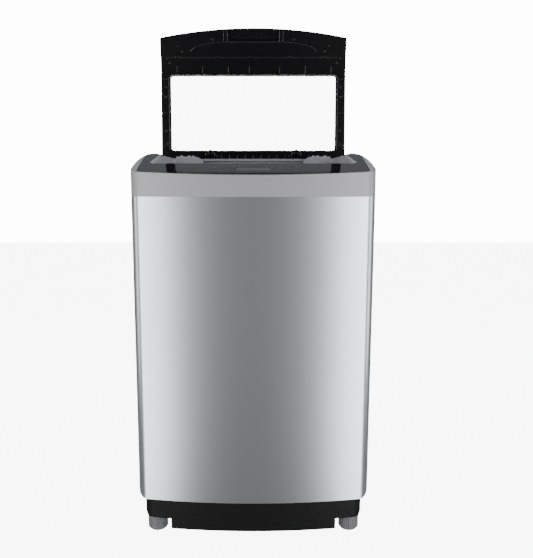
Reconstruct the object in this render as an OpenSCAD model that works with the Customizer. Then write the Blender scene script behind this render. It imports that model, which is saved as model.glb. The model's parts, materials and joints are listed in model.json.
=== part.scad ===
// Top-loading washing machine with a bowed front and a lifting window lid.
// X runs to the right, Y to the rear and Z up. The origin is on the floor, under the middle.
// The lid is drawn standing open. Every round fit is a true cylinder.

/* [Cabinet] */
// Width across the sides
body_w = 540; // [450:1:650]
// Depth from the middle of the bowed front to the ends of the rear water connections
body_d = 560; // [467:1:680]
// How far the rear water connections stand out behind the cabinet
rear_gap = 14; // [10:1:18]
// Height of the cabinet's lower edge above the floor
panel_bottom = 98; // [90:1:118]
// Height of the seam between the cabinet and the top cover
seam_z = 800; // [667:1:960]
// Height of the top cover's front wall above the seam
lip_h = 46; // [40:1:55]
// Height of the side rails above the seam
rail_h = 100; // [84:1:120]
// Radius of the bow across the front
bow_r = 1400; // [1170:10:1700]
// Radius of the upright front corners
corner_r = 28; // [24:1:34]
// Radius under the cabinet's lower corners
low_r = 20; // [16:1:24]
// Thickness of the steel sheet
sheet_t = 1; // [0.8:0.1:1.2]

/* [Top] */
// Slope of the control strip, in degrees
slope = 16; // [14:1:19]
// Depth of the control strip, seen from above
strip_d = 94; // [80:1:112]
// Thickness of the moulded top cover
cover_t = 3; // [2.5:0.5:3.5]
// Thickness of the gloss deck
deck_t = 3; // [2.5:0.5:3.5]
// Width of the cover's rim outside the deck
rim_w = 14; // [12:1:17]
// Radius of the outer shoulder of a side rail
shoulder_r = 32; // [28:1:37]
// Radius of the inner side of a side rail
rail_round = 22; // [20:1:26]
// Width of the inner side of a side rail
rail_in = 16; // [13:1:18]
// How much each side of the well widens towards the control strip
well_flare = 14; // [10:1:16]
// Play round the deck, the surround and the keys
fit_gap = 0.3; // [0.2:0.1:0.5]

/* [Lid] */
// How far the lid's sides stand in from the cabinet's sides at the hinge
lid_inset = 15; // [12:1:18]
// How much narrower each side of the lid is at its front edge
lid_taper = 2; // [1:1:5]
// Distance from the hinge line to the rear connections' ends
hinge_inset = 130; // [120:1:150]
// Height of the hinge line above the side rails
hinge_rise = 5; // [4:0.5:6]
// How far the lid reaches behind the hinge line
lid_tail = 18; // [15:1:22]
// Thickness of the lid
lid_t = 22; // [19:1:26]
// Gap under the closed lid
lid_gap = 3; // [2.5:0.5:4]
// Radius of the lid's arched front edge
arch_r = 1380; // [1150:10:1650]
// Angle between the open and the closed lid
lid_swing = 92; // [90:1:95]
// Width of the lid's side frames
lid_side = 27; // [23:1:32]
// Window height, measured along the lid
window_l = 204; // [170:1:212]
// Thickness of the window
glass_t = 4; // [3:0.5:5]
// Radius of the hinge pins
pin_r = 4; // [3.5:0.5:5]
// Radial play of running fits
run_gap = 0.05; // [0.03:0.01:0.08]

/* [Tub and drive] */
// Gap between the cabinet and the outer tub
tub_gap = 20; // [17:1:24]
// Wall of the outer tub
tub_t = 4; // [3.5:0.5:5]
// Height of the tub's floor above the machine's floor
tub_z = 215; // [205:1:235]
// Gap between the outer tub and the wash basket
basket_gap = 13; // [11:1:16]
// Radius of the pulsator
pulsator_r = 160; // [134:1:172]
// Radius of the wash shaft
wash_shaft_r = 8; // [7:0.5:9]
// Radius of the hollow spin shaft
spin_shaft_r = 15; // [14:0.5:17]
// Radius of the large pulley
big_pulley_r = 72; // [60:1:80]
// Radius of the motor's pulley
small_pulley_r = 22; // [18:1:27]
// Distance between the two pulleys' centres
belt_span = 150; // [135:1:170]
// Radius of the motor
motor_r = 58; // [50:1:66]

/* [Feet] */
// Radius of a levelling foot
foot_r = 24; // [20:1:26]
// Height of a foot below the base
foot_h = 50; // [44:1:56]
// Distance of the feet's centres from the cabinet's sides
foot_inset = 38.5; // [36:0.5:46]
// Height of the base's front skirt above the floor
skirt_z = 24; // [20:1:29]
// How far the base stands back from the cabinet's sides
base_in = 14; // [12:1:17]

/* [Hidden] */
$fn = 64;

half_w = body_w / 2;
front_y = -body_d / 2;
rear_y = body_d / 2 - rear_gap;
lip_z = seam_z + lip_h;
rail_z = seam_z + rail_h;
bend_y = front_y + (rail_h - lip_h) / tan(slope);
rail_x = half_w - shoulder_r;
well_half = rail_x - rail_in;
well_z = rail_z - rail_round + sqrt(pow(rail_round, 2) - pow(rail_in, 2));
strip_y = front_y + strip_d;
lid_half = half_w - lid_inset;
hinge_y = body_d / 2 - hinge_inset;
hinge_z = rail_z + hinge_rise;
well_rear = hinge_y - 22;
block_y = well_rear - 33;
block_z = well_z + 5;
trough_z = hinge_z - lid_tail - 6;
floor_z = rail_z - 48;
throat_r = half_w - 64;
throat_front = strip_y + 12;
throat_rear = block_y - 7;
throat_z = seam_z + 6;
window_front = bend_y + 27;
rear_room = 14;
tub_r = min(half_w - sheet_t - tub_gap, rear_y - 3 * sheet_t - rear_room);
tub_top = seam_z - 20;
basket_r = tub_r - tub_t - basket_gap;
basket_z = tub_z + 22;
basket_top = tub_top - 8;
pulley_z = 92;
pulley_h = 16;
rod_x = half_w - 48;
rod_front = front_y + 60;
rod_rear = rear_y - 36;
rod_low = tub_z + 47;
lug_z = rod_low + 68;
rod_top = seam_z - 100;
drain_x = -150;
drain_y = 150;
drain_z = 76;
foot_x = half_w - foot_inset;
foot_front = front_y + 75;
foot_rear = rear_y - 60;
stud_r = 5;
foot_room = 14.5;
key_s = 50;
bend_r = 140;
grip_z = rod_top - 40;
grip_y = rear_y - 90;

// Points along an arc. The first or the last point is left out where the next stretch repeats it.
function arc_pts(x, y, r, a0, a1, n, skip_first = 0, skip_last = 0) =
    [for (i = [skip_first:n - skip_last]) let(a = a0 + (a1 - a0) * i / n) [x + r * cos(a), y + r * sin(a)]];

// Outline from above: a bowed front, rounded front corners and straight sides
function plan_pts(half, front, rear, bow, cr, rr) =
    let(fx = half - cr, by = front + bow, tilt = asin(fx / (bow - cr)), cy = by - (bow - cr) * cos(tilt))
    concat(arc_pts(0, by, bow, 270 - tilt, 270 + tilt, 24),
        arc_pts(fx, cy, cr, 270 + tilt, 360, 9, 1),
        arc_pts(half - rr, rear - rr, rr, 0, 90, 5),
        arc_pts(rr - half, rear - rr, rr, 90, 180, 5),
        arc_pts(-fx, cy, cr, 180, 270 - tilt, 9, 0, 1));

function body_plan(g, rear = rear_y) = plan_pts(half_w - g, front_y + g, rear, bow_r - g, corner_r - g, 4);
function deck_plan(g) = plan_pts(half_w - rim_w - g, front_y + 4 + g, well_rear - g, bow_r - 4 - g, 16 - g,
    8 - g);
function both_sides(p) = concat(p, [for (i = [len(p) - 1:-1:0]) [-p[i][0], p[i][1]]]);

// Outline of a straight-fronted well, whose sides flare out towards the control strip
function well_pts(half, front, rear, cr, rr) = both_sides(concat(
    arc_pts(half + well_flare - cr, front + cr, cr, 270, 360, 6),
    [[half, bend_y - 10]],
    arc_pts(half - rr, rear - rr, rr, 0, 90, 5)));
function well_plan(g) = well_pts(well_half - g, strip_y + g, well_rear - g, 12 - g, 8 - g);

// Height of the top from front to rear, as points in Y and Z
bend_end = bend_y + bend_r * tan(slope / 2);
function top_line() = concat([[front_y - 5, lip_z - 5 * tan(slope)]],
    arc_pts(bend_end, rail_z - bend_r, bend_r, 90 + slope, 90, 6),
    [[body_d / 2 + 5, rail_z]]);

// Slope and height of the top at one depth
function top_tilt(y) = y > bend_end ? 0 : min(slope, asin(min(1, (bend_end - y) / bend_r)));
function top_z(y) = let(a = top_tilt(y))
    a < slope ? rail_z - bend_r * (1 - cos(a)) : rail_z - (bend_y - y) * tan(slope);

module prism(points, z0, z1) {
    translate([0, 0, z0]) linear_extrude(z1 - z0) polygon(points);
}

// A profile in Y and Z, drawn out along X
module along_x(x0, x1) {
    translate([x0, 0, 0]) rotate([90, 0, 90]) linear_extrude(x1 - x0) children();
}

// A profile in X and Z, drawn out along Y
module along_y(y0, y1) {
    translate([0, y1, 0]) rotate([90, 0, 0]) linear_extrude(y1 - y0) children();
}

module bar_y(x, z, r, y0, y1) {
    translate([x, y0, z]) rotate([-90, 0, 0]) cylinder(h = y1 - y0, r = r);
}

module bar_x(y, z, r, x0, x1) {
    translate([x0, y, z]) rotate([0, 90, 0]) cylinder(h = x1 - x0, r = r);
}

module tube(r_in, r_out, z0, z1) {
    translate([0, 0, z0]) difference() {
        cylinder(h = z1 - z0, r = r_out);
        translate([0, 0, -1]) cylinder(h = z1 - z0 + 2, r = r_in);
    }
}

module box(low, high) {
    translate(low) cube(high - low);
}

// Solid under the top's curved surface, lowered by drop
module top_form(drop = 0) {
    dip = asin(rail_in / rail_round);
    translate([0, 0, -drop]) intersection() {
        along_x(-half_w - 2, half_w + 2)
            polygon(concat(top_line(), [[body_d / 2 + 5, seam_z - 60], [front_y - 5, seam_z - 60]]));
        along_y(front_y - 4, body_d / 2 + 4)
            polygon(concat([[half_w, seam_z - 60]],
                arc_pts(rail_x, rail_z - shoulder_r, shoulder_r, 0, 90, 9),
                arc_pts(rail_x, rail_z - rail_round, rail_round, 90, 90 + dip, 5, 1),
                arc_pts(-rail_x, rail_z - rail_round, rail_round, 90 - dip, 90, 5, 0, 1),
                arc_pts(-rail_x, rail_z - shoulder_r, shoulder_r, 90, 180, 9),
                [[-half_w, seam_z - 60]]));
    }
}

// Places a child on the control strip: x across, s up the slope
module on_strip(x, s = key_s) {
    translate([x, front_y + s * cos(slope), lip_z + s * sin(slope)]) rotate([slope, 0, 0]) children();
}

module each_corner(x, yf, yr) {
    for (p = [[-x, yf], [x, yf], [-x, yr], [x, yr]]) translate([p[0], p[1], 0]) children();
}

/* ---- cabinet ---- */

module cabinet_form(g) {
    intersection() {
        prism(body_plan(g, g > 0 ? rear_y + 5 : rear_y), panel_bottom + g, seam_z + (g > 0 ? 5 : 0));
        along_y(front_y - 5, body_d / 2 + 5) polygon(concat(
            arc_pts(half_w - low_r, panel_bottom + low_r, low_r - g, 270, 360, 8),
            [[half_w - g, seam_z + 9], [g - half_w, seam_z + 9]],
            arc_pts(low_r - half_w, panel_bottom + low_r, low_r - g, 180, 270, 8)));
    }
}

module cabinet_wrap() color([0.66, 0.69, 0.72]) {
    difference() {
        cabinet_form(0);
        cabinet_form(sheet_t);
        prism(plan_pts(half_w - base_in - 16, front_y + 14, rear_y + 9, bow_r - 14, corner_r, 4),
            panel_bottom - 5, panel_bottom + 5);
        for (s = [-1, 1]) translate([s * half_w, grip_y, grip_z]) cube([10, 92, 32], center = true);
    }
    for (s = [-1, 1])
        box([s > 0 ? half_w - 19 : sheet_t / 2 - half_w, rear_y - 3 * sheet_t, panel_bottom + low_r + 4],
            [s > 0 ? half_w - sheet_t / 2 : 19 - half_w, rear_y - 2 * sheet_t, seam_z - 1]);
}

module side_grips() color([0.2, 0.21, 0.22]) {
    for (s = [0, 1]) mirror([s, 0, 0]) translate([half_w, grip_y, grip_z]) difference() {
        union() {
            translate([-12 - sheet_t, 0, 0]) cube([24, 91.4, 31.4], center = true);
            translate([-sheet_t - 1, 0, 0]) cube([2, 104, 44], center = true);
        }
        translate([-10, 0, 0]) cube([24, 86, 26], center = true);
        translate([25, 0, 0]) cube([50, 120, 60], center = true);
    }
}

service_w = 300;
service_z0 = 135;
service_z1 = 380;
module rear_panel() color([0.7, 0.72, 0.74]) {
    difference() {
        box([sheet_t - half_w, rear_y - 2 * sheet_t, panel_bottom + low_r],
            [half_w - sheet_t, rear_y - sheet_t, seam_z - 1]);
        box([-service_w / 2 + 15, rear_y - 9, service_z0 + 15],
            [service_w / 2 - 15, rear_y + 9, service_z1 - 15]);
        bar_y(-half_w + 70, seam_z - 80, 8 + run_gap, rear_y - 9, rear_y + 9);
    }
    for (x = [-150, 0, 150])
        box([x - 9, rear_y - sheet_t, service_z1 + 60], [x + 9, rear_y, seam_z - 60]);
}

module service_cover() color([0.62, 0.64, 0.66]) difference() {
    box([-service_w / 2, rear_y - sheet_t, service_z0], [service_w / 2, rear_y, service_z1]);
    for (i = [-3:3])
        box([i * 30 - 9, rear_y - 9, service_z0 + 60], [i * 30 + 9, rear_y + 9, service_z0 + 66]);
}

module rear_screws() color([0.75, 0.76, 0.78]) {
    for (x = [-service_w / 2 + 7, service_w / 2 - 7], z = [service_z0 + 8, service_z1 - 8])
        bar_y(x, z, 4, rear_y, rear_y + 2);
    for (x = [-half_w + 10, half_w - 10], z = [panel_bottom + 60, seam_z / 2 + 50, seam_z - 40])
        bar_y(x, z, 4, rear_y - sheet_t, rear_y + 1);
}

module cord_gland() color([0.08, 0.08, 0.09]) translate([-half_w + 70, 0, seam_z - 80]) difference() {
    union() {
        bar_y(0, 0, 8, rear_y - 12, rear_y + 3);
        bar_y(0, 0, 12, rear_y - sheet_t, rear_y + 3);
        bar_y(0, 0, 12, rear_y - 6, rear_y - 2 * sheet_t);
    }
    bar_y(0, 0, 4.2, rear_y - 20, rear_y + 9);
}

module base_frame() color([0.04, 0.04, 0.045]) difference() {
    union() {
        intersection() {
            difference() {
                prism(plan_pts(half_w - base_in, front_y + 6, rear_y - base_in, bow_r - 6, corner_r, 12),
                    foot_h, panel_bottom);
                prism(plan_pts(half_w - base_in - 4, front_y + 10, rear_y - base_in - 4, bow_r - 10,
                    corner_r - 4, 8),
                    foot_h + 4, panel_bottom + 1);
            }
            along_y(front_y - 5, body_d / 2 + 5) polygon([[half_w - base_in - 7, foot_h],
                [half_w - base_in, foot_h + 10], [half_w - base_in, panel_bottom],
                [base_in - half_w, panel_bottom], [base_in - half_w, foot_h + 10],
                    [base_in + 7 - half_w, foot_h]]);
        }
        intersection() {
            difference() {
                prism(plan_pts(half_w - base_in, front_y + 8, rear_y - base_in, bow_r - 8, corner_r, 12),
                    skirt_z, foot_h + 2);
                prism(plan_pts(half_w - base_in, front_y + 13, rear_y, bow_r - 13, corner_r, 12),
                    skirt_z - 1, foot_h);
            }
            box([foot_inset + foot_r + foot_room - half_w, front_y - 1, skirt_z - 2],
                [half_w - foot_inset - foot_r - foot_room, front_y + 60, foot_h + 3]);
        }
        each_corner(foot_x, foot_front, foot_rear) tube(stud_r + run_gap, 19, foot_h, foot_h + 22);
    }
    box([80 - half_w, front_y + 110, foot_h - 9], [half_w - 80, rear_y - 96, panel_bottom + 9]);
    each_corner(foot_x, foot_front, foot_rear) translate([0, 0, foot_h - 1])
        cylinder(h = 40, r = stud_r + run_gap);
    bar_y(drain_x, drain_z, 15.4, rear_y - 60, rear_y + 9);
}

// A knurled foot on a threaded stud
module foot(x, y) {
    ribs = 30;
    translate([x, y, 0]) {
        color([0.45, 0.46, 0.47]) cylinder(h = 4, r1 = foot_r - 4, r2 = foot_r - 1);
        color([0.45, 0.46, 0.47]) translate([0, 0, 4]) linear_extrude(foot_h - 12)
            polygon([for (i = [0:4 * ribs - 1]) let(r = foot_r - (i % 4 < 2 ? 0 : 1.4), a = 90 * i / ribs)
                [r * cos(a), r * sin(a)]]);
        color([0.7, 0.7, 0.72]) translate([0, 0, foot_h - 8.5]) cylinder(h = 55, r = stud_r);
        color([0.7, 0.7, 0.72]) translate([0, 0, foot_h - 6]) cylinder(h = 5, r = 9, $fn = 6);
    }
}

module foot_front_left() foot(-foot_x, foot_front);
module foot_front_right() foot(foot_x, foot_front);
module foot_rear_left() foot(-foot_x, foot_rear);
module foot_rear_right() foot(foot_x, foot_rear);

/* ---- top ---- */

valve_x = 150;
valve_z = seam_z + 44;
module top_cover() color([0.62, 0.62, 0.63]) difference() {
    intersection() {
        top_form();
        prism(body_plan(0), seam_z, rail_z + 1);
    }
    difference() {
        intersection() {
            top_form(deck_t + cover_t);
            prism(body_plan(cover_t, rear_y - cover_t), seam_z - 1, rail_z + 1);
        }
        trough(cover_t);
    }
    difference() {
        prism(deck_plan(0), seam_z + 5, rail_z + 1);
        top_form(deck_t);
    }
    prism(well_plan(5), seam_z + 3, rail_z + 5);
    box([-186, front_y + 20, seam_z + 5], [186, strip_y - 14, rail_z]);
    trough(0);
    for (s = [-1, 1]) bar_y(valve_x + s * 26, valve_z, 14, rear_y - 9, rear_y + 9);
}

// Trough under the hinge line, which the lid's rear edge turns down into
module trough(wall) {
    half = lid_half + 1.5 + wall;
    box([-half, hinge_y - 14 - wall, trough_z - wall], [half, hinge_y + 32 + wall, rail_z + 1]);
}

module key_cut(w, h, grow, z0, z1) {
    translate([0, 0, z0]) linear_extrude(z1 - z0) union() {
        square([w - h, h + 2 * grow], center = true);
        for (s = [-1, 1]) translate([s * (w - h) / 2, 0]) circle(r = h / 2 + grow);
    }
}

key_w = 26;
key_h = 11;
key_gap = 0.35;
key_x = [-92, -56, 56, 92, 124, 158];
display_w = 74;
display_h = 24;
module control_deck() color([0.03, 0.03, 0.035]) difference() {
    intersection() {
        top_form();
        prism(deck_plan(fit_gap), seam_z + 6, rail_z + 2);
    }
    top_form(deck_t);
    prism(well_plan(0), seam_z + 3, rail_z + 5);
    for (x = key_x) on_strip(x) key_cut(key_w, key_h, key_gap, -9, 9);
    on_strip(0) translate([0, 0, -1]) cube([display_w, display_h, 12], center = true);
}

module display_window() color([0.06, 0.06, 0.07]) on_strip(0)
    translate([0, 0, -1.2]) cube([display_w - 0.4, display_h - 0.4, 2], center = true);

module key(x) color([0.05, 0.05, 0.055]) on_strip(x) {
    key_cut(key_w, key_h, 0, -2.4, 0.15);
    translate([0, 0, -7]) cylinder(h = 5, r = 3);
}

module program_key() key(key_x[0]);
module level_key() key(key_x[1]);
module rinse_key() key(key_x[2]);
module spin_key() key(key_x[3]);
module start_key() key(key_x[4]);
module power_key() key(key_x[5]);

board_half = 190;
module control_housing() color([0.75, 0.75, 0.73]) difference() {
    intersection() {
        box([-board_half - 2.5, front_y + 18.5, seam_z + 8], [board_half + 2.5, strip_y - 10, rail_z]);
        top_form(deck_t + cover_t + 0.2);
    }
    box([-board_half, front_y + 21, seam_z + 10.5], [board_half, strip_y - 12.5, rail_z + 1]);
}

module control_board() color([0.1, 0.35, 0.2]) on_strip(0, (strip_d - 8) / 2 / cos(slope) + 1) {
    translate([0, 0, -14]) cube([2 * board_half, 50, 1.6], center = true);
    for (x = key_x) translate([x, key_s - (strip_d - 8) / 2 / cos(slope) - 1, -11.3])
        cube([6, 6, 4], center = true);
    translate([0, 0, -9]) cube([64, 18, 9], center = true);
    for (x = [-150, -130]) translate([x, 8, -18]) cube([14, 14, 8], center = true);
}

basin_in = 8;
module basin() prism(well_pts(well_half - basin_in, strip_y + basin_in, block_y, 6, 4), floor_z, rail_z + 9);

module throat(grow, z0, z1) {
    translate([0, 0, z0]) linear_extrude(z1 - z0) intersection() {
        circle(r = throat_r + grow, $fn = 96);
        translate([-half_w, throat_front - grow]) square([body_w, throat_rear - throat_front + 2 * grow]);
    }
}

drawer_half = 60;
lip_drop = 4;
module inner_surround() color([0.6, 0.59, 0.62]) difference() {
    union() {
        difference() {
            intersection() {
                top_form();
                prism(well_plan(fit_gap), seam_z + 6, rail_z + 2);
            }
            top_form(deck_t);
        }
        intersection() {
            top_form();
            prism(well_plan(5 + fit_gap), floor_z - 3, rail_z + 2);
        }
        throat(3, throat_z, floor_z - 1);
        for (s = [-1, 1], x = [well_half - 28, well_half - 48, well_half - 60])
            translate([s * x, block_y + 12, block_z - 1]) cylinder(h = 4, r1 = 4.5, r2 = 3.5);
        for (s = [0, 1]) mirror([s, 0, 0])
            box([well_half - 90, block_y, floor_z - 2], [well_half - 14, well_rear - 6, block_z]);
    }
    basin();
    box([-half_w, strip_y - 1, top_z(strip_y) - lip_drop], [half_w, strip_y + basin_in + 1, rail_z + 9]);
    throat(0, throat_z - 9, rail_z);
    along_y(block_y - 1, well_rear + 1) polygon(concat([[-well_half + 62, rail_z + 9]],
        arc_pts(-well_half + 62, block_z - 26, 26, 90, 0, 8),
        arc_pts(well_half - 62, block_z - 26, 26, 180, 90, 8), [[well_half - 62, rail_z + 9]]));
    box([-drawer_half - 0.6, block_y - 12, throat_z - 1], [drawer_half + 0.6, well_rear + 5, floor_z - 4]);
}

drawer_z0 = throat_z + 3;
drawer_z1 = floor_z - 4.6;
drawer_back = block_y + 82;
module drawer_housing() color([0.85, 0.85, 0.86]) difference() {
    box([-drawer_half - 3, block_y + 1, drawer_z0 - 3], [drawer_half + 3, drawer_back + 3, drawer_z1 + 1.6]);
    box([-drawer_half - 0.5, block_y - 1, drawer_z0 - 0.5],
        [drawer_half + 0.5, drawer_back + 0.5, drawer_z1 + 0.4]);
    bar_y(40, drawer_z0 + 16, 6, drawer_back, drawer_back + 9);
}

module detergent_drawer() color([0.9, 0.9, 0.92]) difference() {
    union() {
        box([-drawer_half, block_y - 1, drawer_z0], [drawer_half, drawer_back - 2, drawer_z1 - 6]);
        box([-drawer_half, block_y - 7, drawer_z0], [drawer_half, block_y - 2, drawer_z1]);
        box([-drawer_half, block_y - 4, drawer_z0], [drawer_half, block_y, drawer_z1 - 6]);
    }
    box([-drawer_half + 2, block_y + 2, drawer_z0 + 2], [-2, drawer_back - 4, drawer_z1]);
    box([2, block_y + 2, drawer_z0 + 2], [drawer_half - 2, drawer_back - 4, drawer_z1]);
    box([-18, block_y - 9, drawer_z0 - 1], [18, block_y - 4.5, drawer_z0 + 9]);
}

inlet_r = 13;
module inlet_valve() color([0.2, 0.22, 0.25]) {
    for (s = [-1, 1]) difference() {
        union() {
            bar_y(valve_x + s * 26, valve_z, inlet_r, rear_y, body_d / 2);
            bar_y(valve_x + s * 26, valve_z, inlet_r - 1, rear_y - 22, rear_y + 1);
            bar_y(valve_x + s * 26, valve_z, 17, rear_y - cover_t - 4, rear_y - cover_t);
        }
        bar_y(valve_x + s * 26, valve_z, 9, rear_y - 10, body_d / 2 + 1);
    }
    box([valve_x - 44, rear_y - 52, valve_z - 16], [valve_x + 44, rear_y - 22, valve_z + 16]);
    for (s = [-1, 1]) translate([valve_x + s * 26, rear_y - 37, valve_z - 34]) cylinder(h = 20, r = 13);
    bar_x(rear_y - 37, valve_z - 10, 7, 40, valve_x - 43);
    bar_y(40, valve_z - 10, 7, drawer_back + 3, rear_y - 36);
    translate([40, rear_y - 37, valve_z - 10]) sphere(r = 7);
}

module level_sensor() color([0.9, 0.9, 0.88]) translate([half_w - 62, 0, seam_z - 52]) {
    bar_y(0, 0, 24, rear_y - 28, rear_y - 2 * sheet_t);
    bar_y(0, 0, 4, rear_y - 36, rear_y - 27);
}

module lid_switch() color([0.85, 0.85, 0.83])
    box([well_half - 5 - fit_gap, 40, well_z - 26], [well_half + 12, 84, well_z - 10]);

/* ---- lid, drawn closed and then turned up about the hinge line ---- */

module lid_pose() {
    translate([0, hinge_y, hinge_z]) rotate([-lid_swing, 0, 0]) translate([0, -hinge_y, -hinge_z]) children();
}

arch_y = strip_y + 3;
// Lid outline from above
function lid_plan(g) =
    let(cr = 5 - g / 2, hf = lid_half - lid_taper - g, fx = hf - cr, r = arch_r - g, by = arch_y + arch_r,
        tilt = asin(fx / (r - cr)), cy = by - (r - cr) * cos(tilt))
    concat(arc_pts(0, by, r, 270 - tilt, 270 + tilt, 20),
        arc_pts(fx, cy, cr, 270 + tilt, 358, 6, 1),
        [[lid_half - g, hinge_y + lid_tail - g], [g - lid_half, hinge_y + lid_tail - g]],
        arc_pts(-fx, cy, cr, 182, 270 - tilt, 6, 0, 1));

// Layer of the lid between two heights above the top's side profile
module lid_layer(u0, u1, points) {
    line = top_line();
    n = len(line) - 1;
    intersection() {
        along_x(-half_w, half_w) polygon(concat([for (p = line) [p[0], p[1] + u0]],
            [for (i = [0:n]) [line[n - i][0], line[n - i][1] + u1]]));
        prism(points, seam_z, rail_z + 60);
    }
}

function round_rect(x0, y0, x1, y1, r) = concat(arc_pts(x1 - r, y0 + r, r, 270, 360, 5),
    arc_pts(x1 - r, y1 - r, r, 0, 90, 5), arc_pts(x0 + r, y1 - r, r, 90, 180, 5),
        arc_pts(x0 + r, y0 + r, r, 180, 270, 5));

function window_pts(g) = round_rect(lid_side - lid_half - g, window_front - g,
    lid_half - lid_side + g, window_front + window_l + g, 8 + g);

skin_u = lid_gap + 11;
glass_u = skin_u - 2;
bracket_x = [lid_half - 144, lid_half - 128];
module hinge_room() {
    for (s = [0, 1]) mirror([s, 0, 0])
        box([bracket_x[0] - 5, hinge_y - 9, rail_z - 30], [bracket_x[1] + 5, hinge_y + 30, rail_z + 60]);
}

module lid_outer_frame() color([0.03, 0.03, 0.035]) lid_pose() difference() {
    lid_layer(skin_u, lid_gap + lid_t, lid_plan(0));
    prism(window_pts(0), seam_z, rail_z + 90);
    lid_layer(skin_u - 1, glass_u + glass_t, window_pts(7));
}

handle_half = 68;
module lid_inner_frame() color([0.05, 0.05, 0.055]) lid_pose() {
    difference() {
        lid_layer(lid_gap, skin_u, lid_plan(1.5));
        prism(window_pts(0), seam_z, rail_z + 90);
        lid_layer(glass_u, skin_u + 1, window_pts(7));
        hinge_room();
        lid_layer(lid_gap - 1, lid_gap + 8, round_rect(-handle_half, arch_y + 6, handle_half, arch_y + 32,
            6));
    }
    for (s = [0, 1]) mirror([s, 0, 0]) difference() {
        union() {
            bar_x(hinge_y, hinge_z, pin_r + 3, bracket_x[0] + 4.3, bracket_x[1] - 4.3);
            box([bracket_x[0] + 4.3, hinge_y - 14, rail_z + lid_gap],
                [bracket_x[1] - 4.3, hinge_y, rail_z + glass_u - 0.5]);
        }
        bar_x(hinge_y, hinge_z, pin_r + run_gap, 0, half_w);
    }
}

module lid_window() color([0.9, 0.93, 0.95, 0.35]) lid_pose()
    lid_layer(glass_u + 0.6, glass_u + glass_t - 0.6, window_pts(5.5));

module window_gasket() color([0.02, 0.02, 0.02]) lid_pose() difference() {
    lid_layer(glass_u, glass_u + glass_t, window_pts(7));
    lid_layer(glass_u + 0.6, glass_u + glass_t - 0.6, window_pts(5.5));
    prism(window_pts(-1.5), seam_z, rail_z + 90);
}

screw_gap = 0.1;
screw_places = [[108, bend_y - 62], [lid_half - 62, bend_y - 33], [lid_half - 27, bend_y - 4],
    [lid_half - 15, window_front + 60], [lid_half - 15, window_front + 150], [100, window_front + window_l + 14]];
module lid_screws() color([0.3, 0.3, 0.32]) lid_pose() for (s = [-1, 1], p = screw_places)
    translate([s * p[0], p[1], top_z(p[1]) + lid_gap - screw_gap]) rotate([top_tilt(p[1]), 0, 0])
        translate([0, 0, -1.4]) cylinder(h = 1.4, r = 3.2);

bumper_in = 17;
module lid_bumpers() color([0.1, 0.1, 0.1]) lid_pose() for (s = [-1, 1], y = [bend_y + 60, hinge_y - 30])
    translate([s * (lid_half - bumper_in), y, rail_z + 0.4]) cylinder(h = lid_gap - 0.4, r = 4);

module hinge_brackets() color([0.06, 0.06, 0.065]) for (s = [0, 1]) mirror([s, 0, 0]) difference() {
    union() {
        box([bracket_x[0] - 6, hinge_y - 8, trough_z], [bracket_x[1] + 6, hinge_y + 7.5, trough_z + 3]);
        for (x = bracket_x) {
            bar_x(hinge_y, hinge_z, 7.5, x - 4, x + 4);
            box([x - 4, hinge_y - 7.5, trough_z + 1], [x + 4, hinge_y + 7.5, hinge_z]);
        }
    }
    bar_x(hinge_y, hinge_z, pin_r, 0, half_w);
}

module hinge_pins() color([0.75, 0.76, 0.78]) for (s = [0, 1]) mirror([s, 0, 0])
    bar_x(hinge_y, hinge_z, pin_r, bracket_x[0] - 5, bracket_x[1] + 5);

/* ---- tub, basket and drive ---- */

module outer_tub() color([0.82, 0.83, 0.85]) difference() {
    union() {
        rotate_extrude($fn = 128) polygon([[30, tub_z], [tub_r - 12, tub_z], [tub_r, tub_z + 12],
            [tub_r, tub_top],
            [tub_r - tub_t, tub_top], [tub_r - tub_t, tub_z + 13], [tub_r - 13, tub_z + tub_t],
                [30, tub_z + tub_t]]);
        for (p = [[-rod_x, rod_front], [rod_x, rod_front], [-rod_x, rod_rear], [rod_x, rod_rear]])
            rotate([0, 0, atan2(p[1], p[0])]) {
                box([tub_r - tub_t / 2, -10, lug_z], [norm(p), 10, lug_z + 14]);
                translate([norm(p), 0, lug_z]) cylinder(h = 14, r = 14);
            }
    }
    for (p = [[-rod_x, rod_front], [rod_x, rod_front], [-rod_x, rod_rear], [rod_x, rod_rear]])
        translate([p[0], p[1], lug_z - 1]) cylinder(h = 20, r = 5);
    translate([drain_x, drain_y, tub_z - 1]) cylinder(h = 20, r = 14);
}

module tub_cover() color([0.86, 0.87, 0.88]) rotate_extrude($fn = 128) polygon([[throat_r + 4, tub_top + 2],
    [throat_r + 4, tub_top + 10], [tub_r - 2, tub_top + 10], [tub_r + 3, tub_top + 5],
        [tub_r + 3, tub_top - 12],
    [tub_r + 0.1, tub_top - 12], [tub_r + 0.1, tub_top], [throat_r + 8, tub_top]]);

module wash_basket() color([0.8, 0.81, 0.82]) rotate_extrude($fn = 128) polygon([[basket_r - 26, basket_z],
    [basket_r, basket_z], [basket_r, basket_top - 34], [basket_r - 1.2, basket_top - 34],
    [basket_r - 1.2, basket_z + 1.2], [basket_r - 26, basket_z + 1.2]]);

module balance_ring() color([0.78, 0.8, 0.83]) rotate_extrude($fn = 128) difference() {
    polygon([[basket_r - 30, basket_top - 34], [basket_r + 1, basket_top - 34],
        [basket_r + 1, basket_top - 6],
        [basket_r - 4, basket_top], [basket_r - 24, basket_top], [basket_r - 30, basket_top - 8]]);
    polygon([[basket_r - 27, basket_top - 31], [basket_r - 2, basket_top - 31],
        [basket_r - 2, basket_top - 7],
        [basket_r - 5, basket_top - 3], [basket_r - 22, basket_top - 3], [basket_r - 27, basket_top - 9]]);
}

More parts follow.
